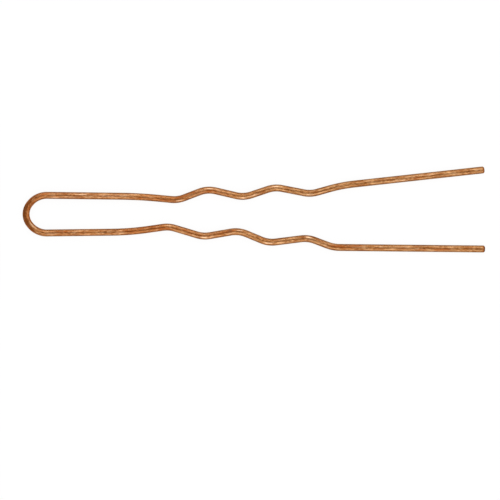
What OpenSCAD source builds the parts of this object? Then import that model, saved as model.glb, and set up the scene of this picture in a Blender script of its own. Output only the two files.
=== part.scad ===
// Crimped U-shaped hairpin, one length of lacquered spring-steel wire, lying flat on the table.
// X runs from the bow to the tips, Y across the two legs, Z up. Millimetres.

/* [Wire] */
// Diameter of the bare spring-steel wire
wire_d = 1; // [0.7:0.05:1.3]
// Thickness of the lacquer all over the wire
lacquer_t = 0.03; // [0.02:0.01:0.08]
// Rounding of the steel around its two cut ends
end_round = 0.2; // [0.05:0.01:0.3]

/* [Bow] */
// Distance between the legs' centrelines where the bow ends
bow_w = 5.7; // [4.8:0.02:9]
// Angle that the bow turns through at its nose, tighter than its shoulders
nose_angle = 80; // [50:1:100]
// Centreline radius of the two shoulder bends between nose and legs
shoulder_r = 3.2; // [2.7:0.1:3.6]
// Straight stretch between the nose bend and each shoulder bend
bow_flat = 0.15; // [0.15:0.05:0.8]
// Angle that each plain shank leans in towards the other leg
shank_angle = 0.7; // [0.2:0.05:2]

/* [Crimps] */
// Centreline radius of the crimps, set by the tool that presses them
crimp_r = 4.3; // [3:0.1:5.5]

/* [Upper leg] */
// Reach of the upper tip from the outside of the bow
upper_len = 69.85; // [64:0.05:80]
// Where the plain shank ends and the upper leg starts to curve, past the bow
upper_shank = 14; // [12:0.1:16]
// Radius of the soft bend at the end of the upper shank
upper_lead_r = 69; // [20:1:90]
// Crimps nearest the other leg: how far past the bow, how far outside the bow's width
upper_dips = [[19.81, -0.73], [29.79, -0.32], [39.9, 0.19]];
// Crimps furthest from the other leg, measured in the same way
upper_peaks = [[24.26, 0.97], [34.45, 1.25], [44.58, 1.5]];
// Radius of the last bend of the upper leg, which lets the tip run straight
upper_last_r = 23; // [10:0.5:30]
// Angle that the upper tip flares outward from the pin's centreline
upper_splay_angle = 6.25; // [2:0.05:10]

/* [Lower leg] */
// Reach of the lower tip from the outside of the bow
lower_len = 69.95; // [64:0.05:80]
// Where the plain shank ends and the lower leg starts to curve, past the bow
lower_shank = 12.6; // [11:0.1:15]
// Radius of the soft bend at the end of the lower shank
lower_lead_r = 43; // [20:1:60]
// Crimps nearest the other leg: how far past the bow, how far outside the bow's width
lower_dips = [[18.45, -0.99], [29.05, -0.35], [39.52, 0.74]];
// Crimps furthest from the other leg, measured in the same way
lower_peaks = [[23.66, 0.57], [33.49, 1.5], [43.32, 2.18]];
// Radius of the last bend of the lower leg, which lets the tip run straight
lower_last_r = 5.7; // [3:0.1:10]
// Angle that the lower tip flares outward from the pin's centreline
lower_splay_angle = 0.6; // [0:0.05:6]

/* [Flex] */
// How far past the bow each leg swings from when the pin is spread
flex_at = 5.8; // [3:0.1:9]

/* [Hidden] */
$fn = 64;
// a straight run ends this far inside the bend that it meets
lap = 0.05;
// and the bend is this much fuller than the run, so that the run's end stays inside it
seat = 0.002;
coated_d = wire_d + 2 * lacquer_t;
// the bow, from the half-width that its three bends have to reach
nose_a = nose_angle / 2;
shoulder_a = 90 + shank_angle - nose_a;
shoulder_rise = shoulder_r * (cos(shank_angle) - sin(nose_a));
nose_r = (bow_w / 2 - bow_flat * cos(nose_a) - shoulder_rise) / sin(nose_a);
nose_x = coated_d / 2;
nose_reach = nose_r * (1 - cos(nose_a)) + bow_flat * sin(nose_a);
bow_x = nose_x + nose_reach + shoulder_r * (cos(nose_a) + sin(shank_angle));
shoulder_cut = shoulder_r * tan(shoulder_a / 2);
// the whole pin stands with the middle of its outline at the origin
upper_tip = tip_of(upper_len, upper_peaks, upper_splay_angle);
lower_tip = tip_of(lower_len, lower_peaks, lower_splay_angle);
mid_x = max(upper_len, lower_len) / 2;
mid_y = (upper_tip[1] - lower_tip[1]) / 2;
upper_path = leg_path(upper_shank, upper_lead_r, upper_dips, upper_peaks, upper_last_r, upper_tip);
lower_path = leg_path(lower_shank, lower_lead_r, lower_dips, lower_peaks, lower_last_r, lower_tip);

// A point on a plain shank, this far past the bow
function on_shank(past) = [bow_x + past, bow_w / 2 - past * tan(shank_angle)];

// The middle of a leg's cut end
function tip_of(reach, peaks, splay) =
    let (last = crimp_at(peaks[len(peaks) - 1]))
    [reach, last[1] + (reach - last[0]) * tan(splay)];

function crimp_at(c) = [bow_x + c[0], bow_w / 2 + c[1]];
function with_r(p, r) = [p[0], p[1], r];

// A leg's centreline as its corners, each with the radius that it's bent to
function leg_path(shank, lead_r, dips, peaks, last_r, tip) = [
    on_shank(flex_at),
    with_r(on_shank(shank), lead_r),
    for (i = [0 : len(dips) - 1]) each [
        with_r(crimp_at(dips[i]), crimp_r),
        with_r(crimp_at(peaks[i]), i < len(peaks) - 1 ? crimp_r : last_r)
    ],
    tip
];

// The bow's centreline, from the upper leg round the nose to the lower leg
function bow_path() =
    let (s = on_shank(-shoulder_cut * cos(shank_angle)), e = on_shank(flex_at))
    [
        e,
        with_r(s, shoulder_r),
        [nose_x + nose_r - nose_r / cos(nose_a), 0, nose_r],
        [s[0], -s[1], shoulder_r],
        [e[0], -e[1]]
    ];

function heading(a, b) = atan2(b[1] - a[1], b[0] - a[0]);
function turn(p, i) = (heading(p[i], p[i + 1]) - heading(p[i - 1], p[i]) + 540) % 360 - 180;
function span(a, b) = norm([b[0] - a[0], b[1] - a[1]]);

// How much of each straight the bend at corner i takes up
function cut(p, i) = i > 0 && i < len(p) - 1 ? p[i][2] * tan(abs(turn(p, i)) / 2) : 0;
function lap_at(p, i) = i > 0 && i < len(p) - 1 ? lap : 0;

// The straight from corner i to the next, with its far end cut square and rounded where asked
module straight(p, i, d, past = 0, round = 0) {
    from = cut(p, i) - lap_at(p, i);
    to = span(p[i], p[i + 1]) - cut(p, i + 1) + lap_at(p, i + 1) + past;
    translate([p[i][0], p[i][1], 0]) rotate([0, 90, heading(p[i], p[i + 1])])
        translate([0, 0, from]) {
            if (round > 0) rounded_rod(to - from, d, round);
            else cylinder(d = d, h = to - from);
        }
}

module rounded_rod(l, d, round) {
    rotate_extrude() difference() {
        square([d / 2, l]);
        translate([d / 2 - round, l - round]) difference() {
            square(2 * round);
            circle(r = round);
        }
    }
}

// The bend at corner i, as the part of a ring that joins its two straights
module bend(p, i, d) {
    t = turn(p, i);
    side = sign(t);
    h = heading(p[i - 1], p[i]);
    r = p[i][2];
    translate([
        p[i][0] - cut(p, i) * cos(h) - side * r * sin(h),
        p[i][1] - cut(p, i) * sin(h) + side * r * cos(h),
        0
    ])
        rotate([0, 0, h - side * 90 + min(t, 0)])
            rotate_extrude(angle = abs(t)) translate([r, 0]) circle(d = d + 2 * seat);
}

// Wire of diameter d formed along the path p
module wire(p, d, past = 0, round = 0) {
    last = len(p) - 2;
    for (i = [0 : last]) straight(p, i, d, i == last ? past : 0, i == last ? round : 0);
    for (i = [1 : last]) bend(p, i, d);
}

module steel_wire(p, round = 0) {
    wire(p, wire_d, 0, round);
}

// The coat that the steel wears, closed over a cut end and open where it runs on into the next length
module lacquer(p, round = 0) {
    difference() {
        wire(p, coated_d, round > 0 ? lacquer_t : 0, round > 0 ? round + lacquer_t : 0);
        steel_wire(p, round);
    }
}

module in_place() {
    translate([-mid_x, -mid_y, coated_d / 2]) children();
}

module bow_wire() {
    color([0.72, 0.72, 0.74]) in_place() steel_wire(bow_path());
}

module bow_lacquer() {
    color([0.69, 0.42, 0.24]) in_place() lacquer(bow_path());
}

module upper_leg_wire() {
    color([0.72, 0.72, 0.74]) in_place() steel_wire(upper_path, end_round);
}

module upper_leg_lacquer() {
    color([0.69, 0.42, 0.24]) in_place() lacquer(upper_path, end_round);
}

module lower_leg_wire() {
    color([0.72, 0.72, 0.74]) in_place() mirror([0, 1, 0]) steel_wire(lower_path, end_round);
}

module lower_leg_lacquer() {
    color([0.69, 0.42, 0.24]) in_place() mirror([0, 1, 0]) lacquer(lower_path, end_round);
}

bow_wire();
bow_lacquer();
upper_leg_wire();
upper_leg_lacquer();
lower_leg_wire();
lower_leg_lacquer();
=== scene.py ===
import math

import bmesh
import bpy
import numpy as np
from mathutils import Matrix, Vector


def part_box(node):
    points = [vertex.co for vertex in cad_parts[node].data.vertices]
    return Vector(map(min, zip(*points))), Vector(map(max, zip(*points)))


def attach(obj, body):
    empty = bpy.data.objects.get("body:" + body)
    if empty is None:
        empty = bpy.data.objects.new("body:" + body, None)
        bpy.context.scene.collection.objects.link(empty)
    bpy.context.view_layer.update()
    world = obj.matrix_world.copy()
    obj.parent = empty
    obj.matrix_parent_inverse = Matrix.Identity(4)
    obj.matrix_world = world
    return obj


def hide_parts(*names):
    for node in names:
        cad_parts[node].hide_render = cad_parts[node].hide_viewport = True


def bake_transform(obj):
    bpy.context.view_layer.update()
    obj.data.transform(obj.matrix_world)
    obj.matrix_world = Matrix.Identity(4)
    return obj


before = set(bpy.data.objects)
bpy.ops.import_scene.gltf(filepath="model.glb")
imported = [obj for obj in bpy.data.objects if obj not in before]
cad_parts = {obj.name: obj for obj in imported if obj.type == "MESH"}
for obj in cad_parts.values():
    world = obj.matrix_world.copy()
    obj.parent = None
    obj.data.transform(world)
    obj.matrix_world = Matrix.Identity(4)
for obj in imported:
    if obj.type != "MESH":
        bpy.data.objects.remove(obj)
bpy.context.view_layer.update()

# Lower leg
# The pin is a single length of round spring wire, crimped, folded over at the bow and dipped in
# bronze lacquer. This stretch runs from the cut tip of the straight leg, over the crimps, to the shank.
mm = 0.001
bow_low, bow_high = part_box("bow_lacquer")
wire_r = bow_high.z / 2
pin_end = bow_low.x
pin_axis = (bow_low.y + bow_high.y) / 2
shank_x, shank_y = 3.6964, 2.85
lean = math.tan(math.radians(0.7))
crimp_r = 4.3
rim_r = 0.3 * mm
sides = 48
ring_pitch = 0.25 * mm


def on_shank(past):
    """Along and out of a point on a shank, so many millimetres past the bow."""
    return shank_x + past, shank_y - past * lean


flex_x, flex_y = on_shank(5.8)
lower_shank_x, lower_shank_y = on_shank(12.6)

# Along from the bow's outer edge, out from the pin's axis and bend radius, in millimetres.
lower_corners = [
    (69.98, -5.2705, 0),
    (47.0164, -5.03, 5.7),
    (43.2164, -3.59, crimp_r),
    (37.1864, -4.35, crimp_r),
    (32.7464, -2.5, crimp_r),
    (27.3564, -3.42, crimp_r),
    (22.1464, -1.86, crimp_r),
    (lower_shank_x, -lower_shank_y, 43),
    (flex_x, -flex_y, 0),
]


def place(corner):
    """A corner's place in the part's frame, in metres."""
    return Vector((pin_end + corner[0] * mm, pin_axis + corner[1] * mm, wire_r))


def wire_route(corners):
    """The wire's centreline as Bezier points (place, handle behind, handle ahead), the crimps along
    it with the side that is outside, 1 for left and -1 for right, and its length."""
    start, end = place(corners[0]), place(corners[-1])
    points, crimps, length, left = [], [], 0.0, start
    for before, corner, after in zip(corners, corners[1:], corners[2:]):
        middle = place(corner)
        back = (place(before) - middle).normalized()
        ahead = (place(after) - middle).normalized()
        turn = math.pi - back.angle(ahead)
        bend_r = corner[2] * mm
        reach = bend_r * math.tan(turn / 2)
        handle = bend_r * 4 / 3 * math.tan(turn / 4)
        enter, leave = middle + back * reach, middle + ahead * reach
        run = (enter - left).length
        points.append((enter, enter + back * run / 3, enter - back * handle))
        points.append((leave, leave - ahead * handle, None))
        if corner[2] == crimp_r:
            outside = math.copysign(1, back.cross(ahead).z)
            crimps.append((length + run + bend_r * turn / 2, outside))
        length += run + bend_r * turn
        left = leave
    run = (end - left).length
    points.insert(0, (start, start * 2 - points[0][0], None))
    points.append((end, end.lerp(left, 1 / 3), end * 2 - left))
    for k in range(0, len(points) - 1, 2):
        here = points[k][0]
        points[k] = (here, points[k][1], here.lerp(points[k + 1][0], 1 / 3))
    return points, crimps, length + run


def pick_edges(piece, wanted):
    """In edit mode, selects the edges whose two ends pass the test."""
    bpy.ops.mesh.select_all(action="DESELECT")
    mesh = bmesh.from_edit_mesh(piece.data)
    for edge in mesh.edges:
        if wanted(edge.verts[0].co, edge.verts[1].co):
            edge.select_set(True)
    mesh.select_flush_mode()
    bmesh.update_edit_mesh(piece.data)


def dab(wear_and_light, along, around, mark):
    """Adds a soft-edged mark: how far along, degrees from the top, length, degrees wide, strength."""
    mark_along, mark_around, length, width, strength = mark
    far_along = (along - mark_along) / (length / 2)
    far_around = (around - mark_around) / (width / 2)
    wear_and_light += strength * np.exp(-(far_along**2) - far_around**2)


def formed_wire(name, corners, drawn_from, tip=None, rows=4):
    """One stretch of the wire, drawn straight along X, its tip rolled over, then bent at its corners."""
    points, crimps, length = wire_route(corners)
    near = 0.01 * mm
    bpy.ops.object.select_all(action="DESELECT")
    bpy.ops.mesh.primitive_cylinder_add(
        vertices=sides,
        radius=wire_r,
        depth=length,
        location=(length / 2, 0, 0),
        rotation=(0, math.pi / 2, 0),
    )
    wire = bpy.context.object
    wire.name = wire.data.name = name
    bpy.ops.object.transform_apply(location=True, rotation=True, scale=True)
    bpy.ops.object.mode_set(mode="EDIT")
    bpy.ops.mesh.select_mode(type="EDGE")
    if tip is not None:
        tip_x = length * tip
        pick_edges(wire, lambda a, b: max(abs(a.x - tip_x), abs(b.x - tip_x)) < near)
        bpy.ops.mesh.bevel(offset=rim_r, segments=5, affect="EDGES")

    # Cut into lengths and then into rings, because one step makes 100 cuts at most.
    lengths = 16
    for cuts in (lengths - 1, math.ceil(length / lengths / ring_pitch) - 1):
        pick_edges(wire, lambda a, b: abs(a.x - b.x) > 2 * ring_pitch)
        bpy.ops.mesh.subdivide(number_cuts=cuts)

    # The lacquer's own map: the straight wire slit underneath and across, and laid out in rows.
    mesh = bmesh.from_edit_mesh(wire.data)
    rings = sorted({round(v.co.x, 6) for v in mesh.verts})
    slits = [min(rings, key=lambda x: abs(x - length * k / rows)) for k in range(1, rows)]
    pick_edges(
        wire,
        lambda a, b: max(a.z, b.z) < -0.999 * wire_r
        or (abs(a.x - b.x) < near and min(abs(a.x - x) for x in slits + [0, length]) < near),
    )
    bpy.ops.mesh.mark_seam()
    bpy.ops.mesh.select_all(action="SELECT")
    wire.data.uv_layers.new(name="OFBake")
    row_gap = 0.004
    bpy.ops.uv.unwrap(method="ANGLE_BASED", margin=row_gap)
    bpy.ops.uv.pack_islands(rotate=True, margin=row_gap)
    bpy.ops.object.mode_set(mode="OBJECT")

    drawn_at = np.empty(len(wire.data.vertices) * 3, np.float32)
    wire.data.vertices.foreach_get("co", drawn_at)

    # A painted highlight on the outside of each crimp, where a glint falls, which also stands for
    # lacquer that the pressing tool rubs bright.
    rub_glint_length, rub_glint_around, rub_glint_width, rub_glint = 1.3 * mm, 25, 28, 1.0
    along, across, up = drawn_at.reshape(-1, 3).T
    around = np.degrees(np.arctan2(across, up))
    wear_and_light = np.zeros(len(along), np.float32)
    for crimp_along, outside in crimps:
        dab(wear_and_light, along, around, (crimp_along, outside * rub_glint_around, rub_glint_length, rub_glint_width, rub_glint))
    wire.data.attributes.new("wear_and_light", "FLOAT", "POINT").data.foreach_set("value", wear_and_light)

    drawn_at[0::3] += drawn_from
    drawn = wire.data.attributes.new("drawn", "FLOAT_VECTOR", "POINT")
    drawn.data.foreach_set("vector", drawn_at)

    bpy.ops.curve.primitive_bezier_curve_add()
    route = bpy.context.object
    route.data.dimensions = "3D"
    route.data.resolution_u = 32
    spline = route.data.splines[0]
    spline.bezier_points.add(len(points) - 2)
    for point, (here, behind, ahead) in zip(spline.bezier_points, points):
        point.handle_left_type = point.handle_right_type = "FREE"
        point.co, point.handle_left, point.handle_right = here, behind, ahead
    bend = wire.modifiers.new("bend", "CURVE")
    bend.object = route
    bpy.context.view_layer.objects.active = wire
    bpy.ops.object.modifier_apply(modifier=bend.name)
    bpy.data.objects.remove(route)
    bpy.ops.object.select_all(action="DESELECT")
    wire.select_set(True)
    bpy.ops.object.shade_smooth_by_angle(angle=math.radians(40))
    return wire, drawn_from + length


def patch_light_and_wear(wire, marks, backwards=False):
    """Broad lighter and darker patches on the lacquer: how far past the flex, degrees from the top,
    length, degrees wide and strength, above 0 lighter and below 0 darker. Some lighter ones are painted
    highlights, and the darkest ones at the tips and on the bow's nose are painted shade. In millimetres."""
    count = len(wire.data.vertices)
    drawn_at = np.empty(count * 3, np.float32)
    wire.data.attributes["drawn"].data.foreach_get("vector", drawn_at)
    along, across, up = drawn_at.reshape(count, 3).T
    along = (along.max() - along if backwards else along - along.min()) / mm
    around = np.degrees(np.arctan2(-across if backwards else across, up - up.mean()))
    wear_and_light = np.empty(count, np.float32)
    wire.data.attributes["wear_and_light"].data.foreach_get("value", wear_and_light)
    for mark in marks:
        dab(wear_and_light, along, around, mark)
    wire.data.attributes["wear_and_light"].data.foreach_set("value", wear_and_light)


# Darker patches along the lower leg, and painted shade that darkens its cut tip nearly to black.
lower_leg, drawn_to = formed_wire("lower_leg", lower_corners, 0.0, tip=0)
patch_light_and_wear(
    lower_leg,
    [
        (6.8, 7, 2.2, 76, -0.7),
        (10.0, 0, 7.0, 400, -0.45),
        (10.3, 30, 3.6, 50, -0.4),
        (11.3, -22, 1.8, 35, -0.4),
        (12.6, -31, 1.9, 26, -0.75),
        (15.5, 0, 2.0, 75, -0.8),
        (20.2, 10, 2.4, 60, -0.5),
        (22.2, 20, 1.8, 42, -1.4),
        (36.5, 8, 2.6, 60, -0.4),
        (39.0, 15, 2.2, 54, -0.95),
        (41.0, 10, 2.0, 60, -0.5),
        (42.0, 27, 2.2, 28, -1.1),
        (48.8, -12, 1.9, 48, -0.7),
        (51.2, -20, 2.2, 32, -0.6),
        (54.6, -10, 4.2, 62, -0.75),
        (61.3, 0, 0.5, 1000, -3.0),
    ],
    backwards=True,
)

lacquer = bpy.data.materials.new("bronze_lacquer")
lacquer.use_nodes = True
nodes, links = lacquer.node_tree.nodes, lacquer.node_tree.links
shader = nodes["Principled BSDF"]


def add(kind, inputs=(), **settings):
    """Adds a node to the lacquer, with values or links for its inputs by number or name."""
    node = nodes.new(kind)
    for name, value in settings.items():
        setattr(node, name, value)
    for name, value in dict(inputs).items():
        if isinstance(value, bpy.types.NodeSocket):
            links.new(value, node.inputs[name])
        else:
            node.inputs[name].default_value = value
    return node


wire_place = add("ShaderNodeAttribute", attribute_name="drawn").outputs["Vector"]


def grain(along, across, detail=2.0, roughness=0.5, offset=0.0):
    """Noise whose marks are so many millimetres long and wide on the drawn wire."""
    scale = (1000 / along, 1000 / across, 1000 / across)
    scaled = add(
        "ShaderNodeMapping", {"Vector": wire_place, "Scale": scale, "Location": (offset, offset, 0)}
    )
    return add(
        "ShaderNodeTexNoise",
        {"Vector": scaled.outputs[0], "Scale": 1.0, "Detail": detail, "Roughness": roughness},
    ).outputs["Fac"]


def level(value, low, high, out_low=0.0, out_high=1.0):
    """Spreads a value between two levels, smoothly."""
    return add(
        "ShaderNodeMapRange",
        {"Value": value, "From Min": low, "From Max": high, "To Min": out_low, "To Max": out_high},
        interpolation_type="SMOOTHSTEP",
    ).outputs[0]


def tinted(share, colour_a, colour_b, how="MIX"):
    """Mixes two colours by a share, or multiplies the first by a share of the second."""
    mix = add("ShaderNodeMix", data_type="RGBA", blend_type=how)
    for socket, value in zip((mix.inputs[0], mix.inputs[6], mix.inputs[7]), (share, colour_a, colour_b)):
        if isinstance(value, bpy.types.NodeSocket):
            links.new(value, socket)
        else:
            socket.default_value = value
    return mix.outputs[2]


clouds = grain(4.0, 2.0)
streaks = grain(2.4, 0.16, offset=3.0)
flecks = grain(0.8, 0.2, offset=7.0)
ticks = grain(0.5, 0.13, detail=1.0, offset=17.0)
rubs = grain(1.2, 0.3, detail=1.0, offset=23.0)
lumps = grain(1.3, 0.4, detail=2.0, offset=11.0)

# The bronze is redder round the bow, which is the middle of the drawn wire, than at the tips.
drawn_x, drawn_y, _ = add("ShaderNodeSeparateXYZ", {"Vector": wire_place}).outputs
bow_middle, red_ends, red_full = 72.3 * mm, 48 * mm, 18 * mm
from_bow = add("ShaderNodeMath", {0: drawn_x, 1: bow_middle}, operation="SUBTRACT").outputs[0]
from_bow = add("ShaderNodeMath", {0: from_bow}, operation="ABSOLUTE").outputs[0]
redder = level(from_bow, red_ends, red_full)
dark = tinted(redder, (0.315, 0.105, 0.018, 1), (0.335, 0.098, 0.016, 1))
light = tinted(redder, (0.415, 0.168, 0.043, 1), (0.455, 0.163, 0.038, 1))
colour = tinted(level(clouds, 0.35, 0.65), dark, light)
streak = tinted(redder, (0.54, 0.28, 0.112, 1), (0.58, 0.265, 0.10, 1))
colour = tinted(level(streaks, 0.4, 0.65), colour, streak)
colour = tinted(level(ticks, 0.53, 0.70, 0.0, 0.85), colour, (0.64, 0.34, 0.155, 1))
colour = tinted(level(ticks, 0.48, 0.30, 0.0, 0.9), colour, (0.25, 0.070, 0.011, 1))

# Fine wear all along the wire: small rubbed spots, and darker ones where the lacquer lies thick.
colour = tinted(level(rubs, 0.54, 0.72, 0.0, 0.4), colour, (0.78, 0.46, 0.25, 1))
colour = tinted(level(rubs, 0.46, 0.28, 0.0, 0.72), colour, (0.30, 0.085, 0.014, 1))

# Painted light across the wire: a lighter tan band between the top and the flanks is a painted
# highlight, and the flanks are darkened with painted shade.
painted_light_across = add("ShaderNodeMath", {0: drawn_y}, operation="ABSOLUTE").outputs[0]
colour = tinted(level(painted_light_across, 0.15 * wire_r, 0.6 * wire_r, 0.0, 0.12), colour, (0.50, 0.27, 0.14, 1))
colour = tinted(level(painted_light_across, 0.65 * wire_r, 0.95 * wire_r), colour, (0.52, 0.38, 0.14, 1), how="MULTIPLY")

# The crimp highlights and patches, broken up by the flecks: lighter, as painted highlight and rubbed
# lacquer, darker, or nearly black, as painted shade at the tips, on the bow's nose and in the darkest
# patches.
wear_and_light = add("ShaderNodeAttribute", attribute_name="wear_and_light").outputs["Fac"]
flecked = level(flecks, 0.3, 0.7, 0.5, 1.5)
flecked_wear_and_light = add("ShaderNodeMath", {0: wear_and_light, 1: flecked}, operation="MULTIPLY").outputs[0]
colour = tinted(level(flecked_wear_and_light, 0.1, 1.0), colour, (0.82, 0.50, 0.29, 1))
colour = tinted(level(flecked_wear_and_light, -0.1, -0.9), colour, (0.34, 0.090, 0.015, 1))
colour = tinted(level(flecked_wear_and_light, -1.0, -2.0), colour, (0.16, 0.060, 0.022, 1))
links.new(colour, shader.inputs["Base Color"])
links.new(level(flecks, 0.4, 0.7, 0.45, 0.3), shader.inputs["Roughness"])
lump_height, streak_height = 0.065 * mm, 0.01 * mm
lumpy = add("ShaderNodeBump", {"Height": lumps, "Strength": 1.0, "Distance": lump_height}).outputs[0]
streaky = add(
    "ShaderNodeBump",
    {"Height": streaks, "Strength": 1.0, "Distance": streak_height, "Normal": lumpy},
)
links.new(streaky.outputs[0], shader.inputs["Normal"])
shader.inputs["Metallic"].default_value = 0.9
shader.inputs["Specular Tint"].default_value = (0.92, 0.65, 0.4, 1)
shader.inputs["Coat Weight"].default_value = 0.12
shader.inputs["Coat Roughness"].default_value = 0.15

lower_leg.data.materials.append(lacquer)
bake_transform(lower_leg)
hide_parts("lower_leg_wire", "lower_leg_lacquer")

# Bow
# The closed end, folded round a nose former until the shanks lie 5.7 mm apart. It is the spring of
# the pin: the legs flex from it, so it holds still while they part.
shoulder_r, nose_r = 3.2, 2.4771
bow_corners = [
    lower_corners[-1],
    (2.1804, -2.8685, shoulder_r),
    (-0.2265, 0, nose_r),
    (2.1804, 2.8685, shoulder_r),
    (flex_x, flex_y, 0),
]
bow, drawn_to = formed_wire("bow", bow_corners, drawn_to, rows=3)
# Painted shade darkens the bow's nose and its outer side, and painted highlights lighten spots near both
# shanks and on the nose's inner side.
patch_light_and_wear(
    bow,
    [
        (0.6, -25, 1.8, 28, 0.8),
        (2.3, 18, 3.0, 50, 0.45),
        (4.9, 41, 2.2, 22, 0.8),
        (6.3, -16, 1.9, 44, -0.4),
        (10.4, 0, 7.0, 1000, -0.85),
        (10.8, -58, 4.6, 40, -1.2),
        (12.6, 27, 2.8, 36, 1.25),
        (17.5, 14, 2.5, 44, -1.1),
    ],
    backwards=True,
)
bow.data.materials.append(lacquer)
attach(bow, "bow")
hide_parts("bow_wire", "bow_lacquer")

# Upper leg
# The splayed leg of the same lacquered wire: three pressed waves that grip the hair, then a straight
# run to the other cut tip, turned outwards so that the pin opens as it is pushed in.
upper_shank_x, upper_shank_y = on_shank(14)
upper_corners = [
    bow_corners[-1],
    (upper_shank_x, upper_shank_y, 69),
    (23.5064, 2.12, crimp_r),
    (27.9564, 3.82, crimp_r),
    (33.4864, 2.53, crimp_r),
    (38.1464, 4.1, crimp_r),
    (43.5964, 3.04, crimp_r),
    (48.2764, 4.35, 23),
    (69.8798, 6.7160, 0),
]
upper_leg, drawn_to = formed_wire("upper_leg", upper_corners, drawn_to, tip=1)
# Lighter patches along the upper leg are painted highlights among darker patches, and painted shade
# darkens its cut tip nearly to black.
patch_light_and_wear(
    upper_leg,
    [
        (-0.6, 25, 1.8, 28, 0.8),
        (3.6, 2, 6.0, 60, 0.42),
        (6.3, 8, 2.0, 26, 0.5),
        (7.8, -24, 2.5, 34, -0.9),
        (9.5, 5, 4.5, 60, -0.4),
        (12.2, -22, 2.2, 32, -1.3),
        (14.5, 29, 1.8, 38, -1.3),
        (16.6, 29, 2.0, 38, -0.7),
        (18.9, -24, 2.5, 42, -0.7),
        (20.3, 19, 3.4, 38, 1.0),
        (20.5, 5, 7.0, 70, -0.6),
        (26.0, -22, 1.9, 44, 0.75),
        (48.2, -27, 3.2, 44, 0.65),
        (50.6, -13, 2.0, 36, -0.6),
        (51.5, 0, 4.0, 60, -0.35),
        (61.3, 0, 0.4, 1000, -2.6),
    ],
)
upper_leg.data.materials.append(lacquer)
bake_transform(upper_leg)
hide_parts("upper_leg_wire", "upper_leg_lacquer")

# Studio
# A white sweep with a low white backdrop round it, two wide softboxes along the pin, a narrower
# one off its tips, and a camera straight above with a long lens.
bpy.ops.object.select_all(action="DESELECT")
bpy.ops.mesh.primitive_plane_add(size=6.0, location=(0, 0, 0))
floor = bpy.context.object
floor.name = "floor"
white = bpy.data.materials.new("white_sweep")
white.use_nodes = True
nodes, links = white.node_tree.nodes, white.node_tree.links
paper_white, glow_white, glow_share = 0.9, 1.02, 0.92
paper = nodes["Principled BSDF"]
paper.inputs["Base Color"].default_value = (paper_white, paper_white, paper_white, 1)
paper.inputs["Roughness"].default_value = 0.9
paper.inputs["Specular IOR Level"].default_value = 0.0
rays = nodes.new("ShaderNodeLightPath")
seen = rays.outputs["Is Camera Ray"]
for ray in ("Is Glossy Ray", "Is Transmission Ray"):
    either = nodes.new("ShaderNodeMath")
    either.operation = "MAXIMUM"
    links.new(seen, either.inputs[0])
    links.new(rays.outputs[ray], either.inputs[1])
    seen = either.outputs[0]
faded = nodes.new("ShaderNodeMath")
faded.operation = "MULTIPLY"
links.new(seen, faded.inputs[0])
faded.inputs[1].default_value = glow_share
glow = nodes.new("ShaderNodeEmission")
glow.inputs["Strength"].default_value = glow_white
sweep = nodes.new("ShaderNodeMixShader")
links.new(faded.outputs[0], sweep.inputs[0])
links.new(paper.outputs[0], sweep.inputs[1])
links.new(glow.outputs[0], sweep.inputs[2])
links.new(sweep.outputs[0], nodes["Material Output"].inputs[0])
backdrop_r, backdrop_height = 2.8, 0.36
bpy.ops.mesh.primitive_cylinder_add(
    vertices=96,
    radius=backdrop_r,
    depth=backdrop_height,
    end_fill_type="NOTHING",
    location=(0, 0, backdrop_height / 2),
)
backdrop = bpy.context.object
backdrop.name = "backdrop"
for stage in (floor, backdrop):
    stage.data.materials.append(white)


def softbox(name, tilt, around, distance, long, wide, radiance):
    """A rectangular lamp, so many degrees from overhead, that faces the pin."""
    tilt, around = math.radians(tilt), math.radians(around)
    way = Vector((math.sin(tilt) * math.cos(around), math.sin(tilt) * math.sin(around), math.cos(tilt)))
    bpy.ops.object.light_add(type="AREA", location=way * distance)
    lamp = bpy.context.object
    lamp.name = name
    lamp.rotation_euler = (0, tilt, around)
    lamp.data.shape = "RECTANGLE"
    lamp.data.size, lamp.data.size_y = wide, long
    lamp.data.energy = radiance * math.pi * long * wide
    lamp.visible_camera = False
    return lamp


softbox("softbox_far", tilt=48, around=90, distance=0.3, long=0.3, wide=0.26, radiance=1.45)
softbox("softbox_near", tilt=48, around=-90, distance=0.3, long=0.3, wide=0.26, radiance=1.45)
softbox("softbox_tips", tilt=50, around=0, distance=0.3, long=0.3, wide=0.16, radiance=1.6)

world = bpy.data.worlds.new("studio")
bpy.context.scene.world = world
world.use_nodes = True
room = world.node_tree.nodes["Background"]
room.inputs["Color"].default_value = (0.42, 0.42, 0.42, 1)
room.inputs["Strength"].default_value = 1.0

lens, sensor = 200.0, 36.0
frame_width = 75.66 * mm
aim = Vector((pin_end + 34.419 * mm, pin_axis - 5.424 * mm, wire_r))
camera_height = Vector((0, 0, frame_width * lens / sensor))
bpy.ops.object.camera_add(location=aim + camera_height, rotation=(0, 0, 0))
camera = bpy.context.object
camera.data.lens = lens
camera.data.sensor_width = sensor
camera.data.clip_start = 0.01
camera.data.clip_end = 10.0
scene = bpy.context.scene
scene.camera = camera
scene.view_settings.view_transform = "Standard"
